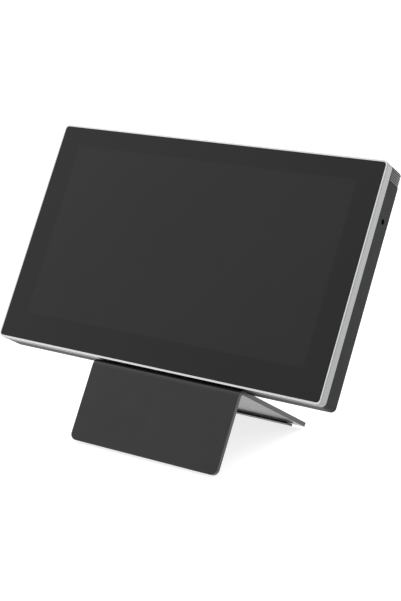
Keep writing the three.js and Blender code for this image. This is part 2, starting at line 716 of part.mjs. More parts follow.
// Slots behind the fold's crest for the knuckles, and countersunk holes for the cheek screws.
const slotFront = AXIS.y - 1;
for (const x of HINGE_X) {
  const half = knuckleHalf + GAP;
  sheet = cut(sheet, block(x - half, x + half, slotFront, neck.back + 1, ARM_UNDER - 1, 0));
}
for (const x of cheekX) {
  sheet = cut(
    sheet,
    barZ(CHEEK.screwR + GAP, ARM_UNDER - 1, ARM_TOP + 1, x, CHEEK.screwY, 16),
    barZ(CHEEK.headR + GAP, ARM_TOP - 1.6, ARM_TOP + 1, x, CHEEK.screwY, 20),
  );
}
part(stand, "stand_plate", sheet, standPaint);

// Rubber strips on the inner faces of the sheet, each trimmed level where it meets the table.
const table = solid(
  new THREE.BoxGeometry(600, 600, 100)
    .translate(0, 0, -50 - GROUND)
    .rotateX(LEAN),
);
const [padLeft, padRight] = [STAND_MID - PAD.w / 2, STAND_MID + PAD.w / 2];
const armStripTop = ARM_UNDER - GAP;
const armStrip = block(padLeft, padRight, padCorner.y - PAD.h, padCorner.y, padCorner.z, armStripTop);
part(stand, "arm_pad", cut(armStrip, table), rubber);

const footStripFront = FOOT_BACK + GAP;
const footStripBottom = heightAt(footStripFront + PAD.footT, GROUND + PAD.worn);
const footStrip = block(
  padLeft,
  padRight,
  footStripFront,
  footStripFront + PAD.footT,
  footStripBottom,
  footStripBottom + PAD.footH,
);
part(stand, "foot_pad", cut(footStrip, table), rubber);

// ---------------------------------------------------------------- stand the object on z = 0

object.updateMatrixWorld(true);
const extent = new THREE.Box3().setFromObject(object, true);
const centre = extent.getCenter(new THREE.Vector3());
lean.position.set(-centre.x, -centre.y, -extent.min.z);
object.updateMatrixWorld(true);

export default object;
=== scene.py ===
import json
import math

import bmesh
import bpy
from mathutils import Matrix, Vector


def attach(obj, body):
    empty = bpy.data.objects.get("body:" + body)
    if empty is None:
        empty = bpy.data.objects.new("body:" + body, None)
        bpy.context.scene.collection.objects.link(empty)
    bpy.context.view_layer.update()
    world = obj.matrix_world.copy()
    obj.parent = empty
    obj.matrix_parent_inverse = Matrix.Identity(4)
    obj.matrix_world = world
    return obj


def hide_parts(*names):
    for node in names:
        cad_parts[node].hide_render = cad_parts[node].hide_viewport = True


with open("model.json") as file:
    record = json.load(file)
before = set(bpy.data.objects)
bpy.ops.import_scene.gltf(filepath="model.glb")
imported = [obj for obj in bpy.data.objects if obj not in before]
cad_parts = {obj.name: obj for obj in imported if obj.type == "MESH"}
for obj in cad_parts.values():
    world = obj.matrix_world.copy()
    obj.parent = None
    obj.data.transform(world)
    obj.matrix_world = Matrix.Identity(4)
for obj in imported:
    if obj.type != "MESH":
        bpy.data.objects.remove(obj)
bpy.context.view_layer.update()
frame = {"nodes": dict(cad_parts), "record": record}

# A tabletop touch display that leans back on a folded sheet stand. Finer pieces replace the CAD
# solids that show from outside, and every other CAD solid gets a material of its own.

NODES = frame["nodes"]
NODE_SLOTS = {part["node"]: part["material_slot"] for part in frame["record"]["subparts"]}

# ------------------------------------------------------------------ sizes

MM = 0.001
LEAN = math.radians(30)  # the screen's lean back from upright
GAP = 0.3 * MM  # clearance between neighbouring pieces, as in the CAD model
HANDS = ("left", "right")
SCREWS = range(1, 5)

PICTURE_W, PICTURE_H = 222.5 * MM, 124.2 * MM
PICTURE_RISE = 2.8 * MM  # the picture area sits this much above the middle of the glass
PRINT_BLUR = 0.15 * MM
GLASS_CORNER = 2.2 * MM
GLASS_EDGE = 0.22 * MM

FRAME_CORNER = 3.6 * MM
FRAME_WALL = 2.4 * MM
FRAME_REAR_CORNER = 1.2 * MM
FRAME_EDGE = 0.12 * MM
LIP_CHAMFER = 0.25 * MM
LEDGE_FRONT, LEDGE_BACK = 2.4 * MM, 3.6 * MM  # the ledge that the glass is bonded to
LEDGE_OPEN = (242 * MM, 145 * MM)
LEDGE_CORNER = 1.5 * MM
MICROPHONE_HOLE = 0.5 * MM  # radius
FACES_FRONT, FACES_DOWN = 0.8, 0.95  # least cosines for a lip face and for an underside face, which gets painted shade

SHELL_WALL = 2.2 * MM
SHELL_CORNER = 3.5 * MM
SHELL_INNER_CORNER = 1.4 * MM
SHELL_EDGE = 0.15 * MM
BACK_EDGE = 1.8 * MM
BACK_EDGE_STEPS = 8
VENT_LENGTH = 11.7 * MM
VENT_SHADE_START, VENT_SHADE_END = 0.10 * MM, 0.25 * MM  # depths between which the ribs darken into painted shade
SPEAKER_SLOT_W, SPEAKER_SLOT_H = 30 * MM, 1.2 * MM
SPEAKER_SLOT_PITCH = 2.6 * MM
SPEAKER_SLOTS = 5
BUMPER_RECESS, BUMPER_DEPTH = 4.3 * MM, 1.2 * MM
KEY_FLANGE = 2.4 * MM  # how much longer a key's hidden flange is than its cap
KEY_DEPTH, KEY_CORNER = 3.8 * MM, 1.7 * MM
KEY_CUT_START, KEY_CUT_LENGTH = 5 * MM, 12 * MM  # from below the top face to well above it
SCOOP_W, SCOOP_H, SCOOP_CORNER, SCOOP_DEPTH = 26 * MM, 12 * MM, 3 * MM, 0.8 * MM
PORT_W, PORT_H = 9 * MM, 3.3 * MM
JACK_HOLE = 1.95 * MM  # radius
COUNTERBORE_DEPTH, COUNTERBORE = 2.2 * MM, 3.1 * MM
CASE_SCREW_HOLE = 1.7 * MM
CASE_SCREW_HEAD, CASE_SCREW_SHANK = 2.8 * MM, 1.2 * MM
CASE_SCREW_EDGE = 0.06 * MM
HEAD_RIM = 0.35  # height of the head's rim, as a share of the dome's top
DOME_STEPS, SCREW_SIDES = 6, 40
LOBES, LOBE_SIDES = 6, 36
LOBE_MIDDLE, LOBE_SWING = 0.46, 0.07  # radius of the recess, as shares of the head's radius
RECESS_SUNK = 0.8  # share of the head's height

SHEET = 3 * MM
BEND = 5 * MM  # outer radius of the fold
FOOT_CORNER = 4.5 * MM
ARM_CORNER = 0.7 * MM
SHEET_EDGE = 0.35 * MM
FOLD_STRIPS = 18
SHEET_CORNER_STEPS = 8
SLOT_START = 0.87  # share of the fold in front of the knuckle slots
STAND_SCREW_HOLE, STAND_SCREW_HEAD, STAND_HEAD_DEPTH = 1.4 * MM, 2.5 * MM, 1.6 * MM

HINGE_WIDTH = 15 * MM
NECK_FRONT, NECK_BACK = 1.2 * MM, 5 * MM  # the hinge necks' reach behind the hinge axis
NECK_RISE = 4.6 * MM  # how far the necks stand up into the case

OVERSHOOT = 1 * MM  # how far a cutter runs past the face that it opens
MICROPHONE_CUT, JACK_CUT, CASE_SCREW_CUT, STAND_SCREW_CUT = 6 * MM, 8 * MM, 20 * MM, 10 * MM
BODY_CORNER_STEPS, SLOT_CORNER_STEPS = 10, 6
NEARLY_ROUND = 0.98  # a slot's end stays just short of a half circle, so no side has zero length
MERGE_DISTANCE = 1e-6
FLAT_ANGLE = math.radians(1)

# ------------------------------------------------------------------ the leaning axes

TURN = Matrix.Rotation(-LEAN, 4, "X")


def turned_box(node):
    """A node's corners in axes that lean with the screen, still measured from the model's origin."""
    back = TURN.inverted()
    points = [back @ v.co for v in NODES[node].data.vertices]
    lo = Vector(min(p[i] for p in points) for i in range(3))
    hi = Vector(max(p[i] for p in points) for i in range(3))
    return lo, hi


glass_lo, glass_hi = turned_box("cover_glass")
GLASS_SIZE = glass_hi - glass_lo
ORIGIN = Vector(((glass_lo.x + glass_hi.x) / 2, glass_lo.y, (glass_lo.z + glass_hi.z) / 2))
LEANING = TURN @ Matrix.Translation(ORIGIN)  # x right, y into the case, z up the screen
FORWARD, DOWNWARD = TURN @ Vector((0, -1, 0)), TURN @ Vector((0, 0, -1))


def local_box(node):
    """A node's corners measured from the middle of the glass front, in the leaning axes."""
    lo, hi = turned_box(node)
    return lo - ORIGIN, hi - ORIGIN


def middle(node):
    lo, hi = local_box(node)
    return (lo + hi) / 2


FRAME_LO, FRAME_HI = local_box("mid_frame")
FRAME_SIZE = FRAME_HI - FRAME_LO
SHELL_LO, SHELL_HI = local_box("rear_shell")
SHELL_SIZE = SHELL_HI - SHELL_LO
INNER_BACK = SHELL_HI.y - SHELL_WALL
STAND_LO, STAND_HI = local_box("stand_plate")
AXIS_Y, AXIS_Z = STAND_LO.y + BEND, STAND_HI.z - BEND  # the hinge axis, at the fold's centre

# ------------------------------------------------------------------ camera

VIEW_AZIMUTH = math.radians(34.42)
VIEW_DOWN = math.radians(15.5)
CAMERA_PLACE = Vector((2.1661, -3.0786, 0.9164))  # from the middle of the glass, in glass widths
LENS_MM, SENSOR_MM = 89.75, 36


def make_camera():
    data = bpy.data.cameras.new("camera")
    data.lens = LENS_MM
    data.sensor_width = SENSOR_MM
    camera = bpy.data.objects.new("camera", data)
    bpy.context.scene.collection.objects.link(camera)
    camera.location = LEANING.to_translation() + CAMERA_PLACE * GLASS_SIZE.x
    across, down = math.cos(VIEW_DOWN), -math.sin(VIEW_DOWN)
    looking = Vector((-math.sin(VIEW_AZIMUTH) * across, math.cos(VIEW_AZIMUTH) * across, down))
    camera.rotation_mode = "QUATERNION"
    camera.rotation_quaternion = looking.to_track_quat("-Z", "Y")
    bpy.context.scene.camera = camera


# ------------------------------------------------------------------ mesh tools


def mesh_object(name, bm, placed=LEANING):
    bmesh.ops.recalc_face_normals(bm, faces=bm.faces)
    mesh = bpy.data.meshes.new(name)
    bm.to_mesh(mesh)
    bm.free()
    piece = bpy.data.objects.new(name, mesh)
    bpy.context.scene.collection.objects.link(piece)
    piece.matrix_world = placed
    return piece


def settle(piece):
    """Bakes a piece's modifiers into its mesh."""
    bpy.context.view_layer.update()
    graph = bpy.context.evaluated_depsgraph_get()
    mesh = bpy.data.meshes.new_from_object(piece.evaluated_get(graph))
    piece.modifiers.clear()
    old = piece.data
    piece.data = mesh
    bpy.data.meshes.remove(old)
    return piece


def carve(piece, cutters):
    """Cuts each cutter out of the piece, then throws the cutters away."""
    for cutter in cutters:
        change = piece.modifiers.new("cut", "BOOLEAN")
        change.operation = "DIFFERENCE"
        change.solver = "EXACT"
        change.object = cutter
    settle(piece)
    for cutter in cutters:
        old = cutter.data
        bpy.data.objects.remove(cutter)
        bpy.data.meshes.remove(old)


def soften(piece, width, segments=2, angle=32):
    """Rounds edges sharper than the angle by a small width and evens out the shading."""
    for polygon in piece.data.polygons:
        polygon.use_smooth = True
    if width:
        edge = piece.modifiers.new("edge", "BEVEL")
        edge.width = width
        edge.segments = segments
        edge.limit_method = "ANGLE"
        edge.angle_limit = math.radians(angle)
    shade = piece.modifiers.new("shade", "WEIGHTED_NORMAL")
    shade.keep_sharp = True
    return settle(piece)


def quarter_turn(cx, cy, radius, start, steps):
    """Points along a quarter circle that begins at the start angle, in degrees."""
    points = []
    for k in range(steps + 1):
        angle = math.radians(start + 90 * k / steps)
        points.append((cx + radius * math.cos(angle), cy + radius * math.sin(angle)))
    return points


def rounded_loop(w, h, r, steps, cx, cz):
    """Points of a rounded rectangle in x and z."""
    points = []
    for i, (sx, sz) in enumerate(((1, -1), (1, 1), (-1, 1), (-1, -1))):
        points += quarter_turn(cx + sx * (w / 2 - r), cz + sz * (h / 2 - r), r, -90 + 90 * i, steps)
    return points


def loft(name, sections, steps, ring=False, cx=0.0, cz=0.0):
    """Joins rounded rectangles (w, h, r, y) in turn. A ring closes on itself, the rest get end caps."""
    bm = bmesh.new()
    loops = []
    for w, h, r, y in sections:
        points = rounded_loop(w, h, r, steps, cx, cz)
        loops.append([bm.verts.new((x, y, z)) for x, z in points])
    pairs = list(zip(loops, loops[1:]))
    if ring:
        pairs.append((loops[-1], loops[0]))
    for near, far in pairs:
        for k in range(len(near)):
            after = (k + 1) % len(near)
            bm.faces.new((near[k], near[after], far[after], far[k]))
    if not ring:
        bm.faces.new(loops[0])
        bm.faces.new(loops[-1])
    return mesh_object(name, bm)


def extruded(bm, outline, by):
    """Turns an outline of vertices into a solid by moving a copy of its face."""
    face = bm.faces.new(outline)
    made = bmesh.ops.extrude_face_region(bm, geom=[face])
    moved = [v for v in made["geom"] if isinstance(v, bmesh.types.BMVert)]
    bmesh.ops.translate(bm, verts=moved, vec=by)


def block(x0, x1, y0, y1, z0, z1, placed=LEANING):
    """A plain cutter."""
    bm = bmesh.new()
    size = Vector((x1 - x0, y1 - y0, z1 - z0))
    centre = Vector((x0 + x1, y0 + y1, z0 + z1)) / 2
    placing = Matrix.Translation(centre) @ Matrix.Diagonal((*size, 1))
    bmesh.ops.create_cube(bm, size=1, matrix=placing)
    return mesh_object("cutter", bm, placed)


def bar(radius, length, centre, along="y", sides=48, placed=LEANING):
    """A round cutter."""
    turns = {
        "x": Matrix.Rotation(math.pi / 2, 4, "Y"),
        "y": Matrix.Rotation(math.pi / 2, 4, "X"),
        "z": Matrix(),
    }
    bm = bmesh.new()
    bmesh.ops.create_cone(
        bm,
        cap_ends=True,
        segments=sides,
        radius1=radius,
        radius2=radius,
        depth=length,
        matrix=Matrix.Translation(centre) @ turns[along],
    )
    return mesh_object("cutter", bm, placed)


def slot_cutter(w, h, y0, y1, cx, cz, corner=None):
    """A cutter along y with round ends, or with the corner radius given."""
    radius = min(w, h) / 2 * NEARLY_ROUND if corner is None else corner
    return loft("cutter", [(w, h, radius, y0), (w, h, radius, y1)], SLOT_CORNER_STEPS, cx=cx, cz=cz)


def refined(node, width):
    """A CAD solid's own shape as a new piece, with its flat faces whole and its edges rounded."""
    bm = bmesh.new()
    bm.from_mesh(NODES[node].data)
    bmesh.ops.remove_doubles(bm, verts=bm.verts, dist=MERGE_DISTANCE)
    bmesh.ops.dissolve_limit(bm, angle_limit=FLAT_ANGLE, verts=bm.verts, edges=bm.edges)
    return soften(mesh_object(node + "_finished", bm, Matrix()), width)


def finish_piece(piece, body, node, *materials):
    """Bakes the piece's place into its mesh, then gives it its materials and its body, and hides the
    CAD node that it replaces.
    """
    piece.data.transform(piece.matrix_world)
    piece.matrix_world = Matrix()
    piece.data.materials.clear()
    for material in materials:
        piece.data.materials.append(material)
    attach(piece, body)
    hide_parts(node)


# ------------------------------------------------------------------ material tools


def grey(value, tint=0.0):
    """A linear grey. A positive tint is a little blue, a negative one a little red."""
    return (value * (1 - tint), value, value * (1 + tint))


class Shader:
    """A Principled material with helpers for the nodes that vary it over the surface."""

    def __init__(self, name, **constants):
        self.material = bpy.data.materials.new(name)
        self.material.use_nodes = True
        self.tree = self.material.node_tree
        self.surface = self.tree.nodes["Principled BSDF"]
        for socket, value in constants.items():
            self.surface.inputs[socket.replace("_", " ")].default_value = value
        coordinates = self.tree.nodes.new("ShaderNodeTexCoord")
        leaning = self.tree.nodes.new("ShaderNodeMapping")  # turns the model's axes to the screen's
        leaning.vector_type = "TEXTURE"
        leaning.inputs["Location"].default_value = LEANING.to_translation()
        leaning.inputs["Rotation"].default_value = LEANING.to_euler()
        self.link(coordinates.outputs["Object"], leaning.inputs["Vector"])
        self.place = leaning.outputs["Vector"]

    def link(self, source, target):
        self.tree.links.new(source, target)

    def stretched(self, scale):
        mapping = self.tree.nodes.new("ShaderNodeMapping")
        mapping.inputs["Scale"].default_value = scale
        self.link(self.place, mapping.inputs["Vector"])
        return mapping.outputs["Vector"]

    def place_axes(self):
        """The leaning x, y and z of the point that is shaded."""
        split = self.tree.nodes.new("ShaderNodeSeparateXYZ")
        self.link(self.place, split.inputs[0])
        return split.outputs["X"], split.outputs["Y"], split.outputs["Z"]

    def noise(self, scale, detail=3, rough=0.55, stretch=None):
        node = self.tree.nodes.new("ShaderNodeTexNoise")
        node.inputs["Scale"].default_value = scale
        node.inputs["Detail"].default_value = detail
        node.inputs["Roughness"].default_value = rough
        self.link(self.place if stretch is None else self.stretched(stretch), node.inputs["Vector"])
        return node.outputs["Fac"]

    def span(self, source, low, high, from_low=0.3, from_high=0.7):
        """Maps a value from one range to another. The default takes in most of a noise."""
        node = self.tree.nodes.new("ShaderNodeMapRange")
        node.inputs["From Min"].default_value = from_low
        node.inputs["From Max"].default_value = from_high
        node.inputs["To Min"].default_value = low
        node.inputs["To Max"].default_value = high
        self.link(source, node.inputs["Value"])
        return node.outputs["Result"]

    def mix(self, factor, first, second):
        """Blends two colours, each a tuple or another node's output."""
        node = self.tree.nodes.new("ShaderNodeMix")
        node.data_type = "RGBA"
        for socket, value in ((node.inputs[6], first), (node.inputs[7], second)):
            if isinstance(value, tuple):
                socket.default_value = (*value, 1)
            else:
                self.link(value, socket)
        self.link(factor, node.inputs["Factor"])
        return node.outputs[2]

    def calculate(self, operation, *values):
        node = self.tree.nodes.new("ShaderNodeMath")
        node.operation = operation
        for socket, value in zip(node.inputs, values):
            if isinstance(value, (int, float)):
                socket.default_value = value
            else:
                self.link(value, socket)
        return node.outputs[0]

    def colour(self, source):
        self.link(source, self.surface.inputs["Base Color"])

    def roughness(self, source):
        self.link(source, self.surface.inputs["Roughness"])

    def bump(self, source, distance):
        node = self.tree.nodes.new("ShaderNodeBump")
        node.inputs["Distance"].default_value = distance
        node.inputs["Strength"].default_value = 1
        self.link(source, node.inputs["Height"])
        self.link(node.outputs["Normal"], self.surface.inputs["Normal"])

    def worn_edges(self, colour, worn, amount):
        """Lightens convex edges a little, in patches, where handling polishes them."""
        geometry = self.tree.nodes.new("ShaderNodeNewGeometry")
        convex_from, convex_to = 0.51, 0.56
        edge = self.span(geometry.outputs["Pointiness"], 0, amount, convex_from, convex_to)
        patchy = self.calculate("MULTIPLY", edge, self.span(self.noise(180), 0.3, 1))
        return self.mix(patchy, colour, worn)


# ------------------------------------------------------------------ materials


def plastic(name, low, high, rough, grain=900, depth=0.02 * MM, tint=0.02, shine=0.4, patchy=0.06):
    """Moulded plastic with a fine spark-eroded grain and faint mottling."""
    s = Shader(name, Specular_IOR_Level=shine)
    tone = s.mix(s.span(s.noise(60, 4), 0, 1), grey(low, tint), grey(high, tint))
    s.colour(s.worn_edges(tone, grey(high * 1.7, tint), 0.35))
    s.roughness(s.span(s.noise(140, 4), rough - patchy, rough + patchy))
    s.bump(s.noise(grain, 2), depth)
    return s.material


def metal(name, low, high, rough, stretch=(1, 1, 1), grain=500, depth=0.006 * MM, tint=0.01):
    """Bare metal with a blasted or brushed grain, stretched along the brushing."""
    s = Shader(name, Metallic=1.0)
    streak = s.noise(grain, 4, 0.65, stretch)
    tone = s.mix(s.span(streak, 0, 1, 0.25, 0.75), grey(low, tint), grey(high, tint))
    s.colour(s.worn_edges(tone, grey(min(1, high * 1.25), tint), 0.3))
    s.roughness(s.span(streak, rough - 0.06, rough + 0.08))
    s.bump(streak, depth)
    return s.material


def fin_material():
    """Satin rib edges that fall to black in the depth of the comb, as painted shade in their colour and
    metalness.
    """
    s = Shader("aluminium_fins", Specular_IOR_Level=0.1)
    streak = s.noise(1200, 4, 0.65, (0.3, 0.3, 1))
    bright = s.mix(s.span(streak, 0, 1), grey(0.28), grey(0.34))
    x, y, _ = s.place_axes()
    from_side = s.calculate("SUBTRACT", SHELL_HI.x, s.calculate("ABSOLUTE", x))
    from_back = s.calculate("SUBTRACT", SHELL_HI.y, y)
    depth = s.calculate("MINIMUM", from_side, from_back)
    # Painted shade: deeper than the ribs' noses, the colour goes to black and the metalness to none.
    painted_depth_shade = s.span(depth, 0, 1, VENT_SHADE_START, VENT_SHADE_END)
    s.colour(s.mix(painted_depth_shade, bright, grey(0.003)))
    s.link(s.span(painted_depth_shade, 1, 0, 0, 1), s.surface.inputs["Metallic"])
    s.roughness(s.span(streak, 0.32, 0.46))
    s.bump(streak, 0.006 * MM)
    return s.material


def coated(name, low, high, rough):
    """Powder coat: a fine orange-peel skin, slightly rubbed on its edges."""
    s = Shader(name, Specular_IOR_Level=0.5)
    tone = s.mix(s.span(s.noise(40, 3), 0, 1), grey(low, 0.02), grey(high, 0.02))
    s.colour(s.worn_edges(tone, grey(high * 2.2, 0.02), 0.4))
    s.roughness(s.span(s.noise(90, 4), rough - 0.015, rough + 0.02))
    s.bump(s.noise(1400, 2), 0.012 * MM)
    return s.material


def rubber(name):
    s = Shader(name, Specular_IOR_Level=0.25)
    s.colour(s.mix(s.span(s.noise(200, 4), 0, 1), grey(0.010), grey(0.022)))
    s.roughness(s.span(s.noise(120, 3), 0.72, 0.92))
    s.bump(s.noise(1600, 3), 0.03 * MM)
    return s.material


def printed_glass():
    """Cover glass: black print round a picture area that reads very slightly lighter."""
    coat = {"Coat_Weight": 1.0, "Coat_Roughness": 0.03, "Coat_IOR": 1.46}
    s = Shader("black_glass", Specular_IOR_Level=0.0, **coat)
    x, _, z = s.place_axes()
    masks = []
    for along, half, centre in ((x, PICTURE_W / 2, 0.0), (z, PICTURE_H / 2, PICTURE_RISE)):
        away = s.calculate("ABSOLUTE", s.calculate("SUBTRACT", along, centre))
        masks.append(s.span(away, 1, 0, half - PRINT_BLUR, half + PRINT_BLUR))
    inside = s.calculate("MULTIPLY", *masks)
    smudge = s.noise(18, 5, 0.6)
    panel = s.mix(s.span(smudge, 0, 1), grey(0.0075), grey(0.0090))
    border = s.mix(s.span(smudge, 0, 1), grey(0.0025), grey(0.0035))
    s.colour(s.mix(inside, border, panel))
    s.roughness(s.span(smudge, 0.30, 0.42))
    return s.material


def circuit_board():
    """Green solder mask over a faint pattern of tracks."""
    s = Shader("circuit_board", Specular_IOR_Level=0.5)
    tracks = s.tree.nodes.new("ShaderNodeTexBrick")
    tracks.inputs["Scale"].default_value = 260
    s.link(s.place, tracks.inputs["Vector"])
    tone = s.mix(s.span(s.noise(90, 5), 0, 1), (0.010, 0.055, 0.028), (0.018, 0.085, 0.042))
    s.colour(s.mix(s.calculate("MULTIPLY", tracks.outputs["Fac"], 0.35), tone, (0.05, 0.16, 0.08)))
    s.roughness(s.span(s.noise(150), 0.32, 0.5))
    s.bump(tracks.outputs["Fac"], 0.03 * MM)
    return s.material


glass_black = printed_glass()
lip_cut = metal("aluminium_cut_edge", 0.84, 0.90, 0.22, grain=300, depth=0.002 * MM)
side_blasted = metal("aluminium_blasted", 0.25, 0.31, 0.28, (0.5, 1, 0.5), 1500, 0.010 * MM)
# Painted shade: the frame's aluminium undersides get this charcoal copy, darker than the same metal on
# the sides.
underside_painted_shade = plastic("charcoal_painted_shade_under", 0.0095, 0.0110, 0.30, shine=0.45, patchy=0.02)
fin_metal = fin_material()
key_metal = metal("aluminium_key", 0.34, 0.42, 0.40, (1, 0.5, 1), 1500)
shell_plastic = plastic("charcoal_shell", 0.0095, 0.0110, 0.50, shine=0.10, patchy=0.02)
inner_plastic = plastic("black_plastic", 0.010, 0.015, 0.55)
key_plastic = plastic("charcoal_keys", 0.009, 0.013, 0.42, shine=0.2)
stand_paint = coated("stand_powder_coat", 0.018, 0.022, 0.20)
rubber_black = rubber("rubber_black")
pad_skin = plastic("silicone_pads", 0.004, 0.008, 0.30, grain=1200, depth=0.01 * MM, shine=0.35)
steel_plain = metal("steel_plain", 0.42, 0.55, 0.38, (1, 0.2, 1), 700)
steel_dark = metal("steel_dark", 0.05, 0.08, 0.42, (0.2, 1, 1), 700)
board_green = circuit_board()
film_white = plastic("film_white", 0.72, 0.82, 0.35, tint=0.0)
copper_foil = metal("antenna_copper", 0.45, 0.55, 0.35, tint=-0.35)
cell_wrap = plastic("cell_wrap", 0.035, 0.050, 0.40, grain=120, depth=0.1 * MM)

SLOT_MATERIALS = {
    "glass_black": glass_black,
    "aluminium_satin": side_blasted,
    "charcoal_plastic": shell_plastic,
    "stand_paint": stand_paint,
    "rubber_black": rubber_black,
    "steel_plain": steel_plain,
    "steel_dark": steel_dark,
    "board_green": board_green,
    "plastic_black": inner_plastic,
    "film_white": film_white,
    "antenna_copper": copper_foil,
    "cell_wrap": cell_wrap,
}


def clothe_cad_nodes():
    for name, node in NODES.items():
        node.data.materials.clear()
        node.data.materials.append(SLOT_MATERIALS[NODE_SLOTS[name]])


# ------------------------------------------------------------------ glass and frame


def make_glass():
    w, t, h = GLASS_SIZE
    sections = [(w, h, GLASS_CORNER, t), (w, h, GLASS_CORNER, 0)]
    glass = loft("glass_front", sections, BODY_CORNER_STEPS)
    soften(glass, GLASS_EDGE, 3)
    finish_piece(glass, "display", "cover_glass", glass_black)


def neck_cutters():
    """Slots for the hinge knuckles' necks, through the bottom wall of frame and shell."""
    cutters = []
    half = HINGE_WIDTH / 2 + GAP
    for hand in HANDS:
        centre = middle("hinge_knuckle_" + hand).x
        front, back = AXIS_Y + NECK_FRONT - GAP, AXIS_Y + NECK_BACK + GAP
        bottom, top = FRAME_LO.z - OVERSHOOT, FRAME_LO.z + NECK_RISE + GAP
        cutters.append(block(centre - half, centre + half, front, back, bottom, top))
    return cutters


def make_frame():
    """An aluminium ring: bright lip in front, satin band round the sides, undersides in a darker
    charcoal as painted shade, a ledge for the glass.
    """
    pocket_w, pocket_h = GLASS_SIZE.x + 2 * GAP, GLASS_SIZE.z + 2 * GAP
    frame_w, frame_h, depth = FRAME_SIZE.x, FRAME_SIZE.z, FRAME_HI.y
    rear_w, rear_h = frame_w - 2 * FRAME_WALL, frame_h - 2 * FRAME_WALL
    c = LIP_CHAMFER
    ring = loft(
        "metal_frame",
        [
            (frame_w, frame_h, FRAME_CORNER, depth),
            (frame_w, frame_h, FRAME_CORNER, c),
            (frame_w - 2 * c, frame_h - 2 * c, FRAME_CORNER - c, 0),
            (pocket_w, pocket_h, GLASS_CORNER, 0),
            (pocket_w, pocket_h, GLASS_CORNER, LEDGE_FRONT),
            (*LEDGE_OPEN, LEDGE_CORNER, LEDGE_FRONT),
            (*LEDGE_OPEN, LEDGE_CORNER, LEDGE_BACK),
            (rear_w, rear_h, FRAME_REAR_CORNER, LEDGE_BACK),
            (rear_w, rear_h, FRAME_REAR_CORNER, depth),
        ],
        BODY_CORNER_STEPS,
        ring=True,
    )
    mic = middle("microphone")
    mic_top = Vector((mic.x, mic.y, FRAME_HI.z))
    carve(ring, neck_cutters() + [bar(MICROPHONE_HOLE, MICROPHONE_CUT, mic_top, "z", 24)])
    soften(ring, FRAME_EDGE)
    finish_piece(ring, "display", "mid_frame", side_blasted, lip_cut, underside_painted_shade)
    for polygon in ring.data.polygons:
        if polygon.normal.dot(FORWARD) > FACES_FRONT:
            polygon.material_index = 1
        # Faces that look down take the charcoal copy, which is painted shade on the aluminium's
        # underside.
        elif polygon.normal.dot(DOWNWARD) > FACES_DOWN:
            polygon.material_index = 2


# ------------------------------------------------------------------ rear shell


def side_cutters(hand, side):
    """The vent window, the speaker slots and the bumper recess of one half of the shell."""
    lo, hi = local_box("vent_fins_" + hand)
    edges = sorted((side * (SHELL_HI.x - VENT_LENGTH), side * (SHELL_HI.x + 5 * OVERSHOOT)))
    back = SHELL_HI.y + OVERSHOOT
    cutters = [block(*edges, lo.y - GAP, back, lo.z - GAP, hi.z + GAP)]
    speaker = middle("speaker_box_" + hand)
    for i in range(SPEAKER_SLOTS):
        height = speaker.z + (i - (SPEAKER_SLOTS - 1) / 2) * SPEAKER_SLOT_PITCH
        slot = (SPEAKER_SLOT_W, SPEAKER_SLOT_H, INNER_BACK - OVERSHOOT, back)
        cutters.append(slot_cutter(*slot, speaker.x, height))
    bumper = middle("rest_bumper_" + hand)
    length = 2 * (BUMPER_DEPTH + 0.8 * OVERSHOOT)
    low = Vector((bumper.x, bumper.y, SHELL_LO.z + BUMPER_DEPTH - length / 2))
    cutters.append(bar(BUMPER_RECESS, length, low, "z"))
    return cutters


def key_cutter(node):
    """A key's rounded opening in the top wall."""
    lo, hi = local_box(node)
    width = hi.x - lo.x - KEY_FLANGE + 2 * GAP
    section = (width, KEY_DEPTH, KEY_CORNER)
    key = loft("cutter", [(*section, 0), (*section, KEY_CUT_LENGTH)], SLOT_CORNER_STEPS)
    key.data.transform(Matrix.Rotation(math.pi / 2, 4, "X"))
    below_top = Vector(((lo.x + hi.x) / 2, (lo.y + hi.y) / 2, SHELL_HI.z - KEY_CUT_START))
    key.data.transform(Matrix.Translation(below_top))
    return key


def shell_cutters():
    cutters = neck_cutters()
    back = SHELL_HI.y
    for hand, side in zip(HANDS, (-1, 1)):
        cutters += side_cutters(hand, side)
    for name in ("power_button", "volume_down_button", "volume_up_button"):
        cutters.append(key_cutter(name))
    port = middle("power_socket")
    scoop = (SCOOP_W, SCOOP_H, back - SCOOP_DEPTH, back + OVERSHOOT)
    cutters.append(slot_cutter(*scoop, port.x, port.z, SCOOP_CORNER))
    opening = (PORT_W, PORT_H, INNER_BACK - OVERSHOOT, back + OVERSHOOT)
    cutters.append(slot_cutter(*opening, port.x, port.z))
    jack = middle("audio_jack")
    cutters.append(bar(JACK_HOLE, JACK_CUT, Vector((SHELL_HI.x, jack.y, jack.z)), "x"))
    for i in SCREWS:
        screw = middle(f"case_screw_{i}")
        centre = Vector((screw.x, back, screw.z))
        cutters.append(bar(COUNTERBORE, 2 * COUNTERBORE_DEPTH, centre))
        cutters.append(bar(CASE_SCREW_HOLE, CASE_SCREW_CUT, centre))
    return cutters


def make_shell():
    """An open tray with a rounded back edge."""
    w, h = SHELL_SIZE.x, SHELL_SIZE.z
    inner = (w - 2 * SHELL_WALL, h - 2 * SHELL_WALL, SHELL_INNER_CORNER)
    sections = [(*inner, INNER_BACK), (*inner, SHELL_LO.y), (w, h, SHELL_CORNER, SHELL_LO.y)]
    for reach, rise in quarter_turn(0, 0, BACK_EDGE, 0, BACK_EDGE_STEPS):
        inset = BACK_EDGE - reach
        y = SHELL_HI.y - BACK_EDGE + rise
        sections.append((w - 2 * inset, h - 2 * inset, SHELL_CORNER - inset, y))
    shell = loft("back_shell", sections, BODY_CORNER_STEPS)
    carve(shell, shell_cutters())
    soften(shell, SHELL_EDGE)
    finish_piece(shell, "display", "rear_shell", shell_plastic)


# ------------------------------------------------------------------ stand sheet

FOOT_LENGTH = AXIS_Z - STAND_LO.z
FOLD_LENGTH = (BEND - SHEET / 2) * math.pi / 2  # along the middle of the sheet
BLANK_LENGTH = FOOT_LENGTH + FOLD_LENGTH + STAND_HI.y - AXIS_Y


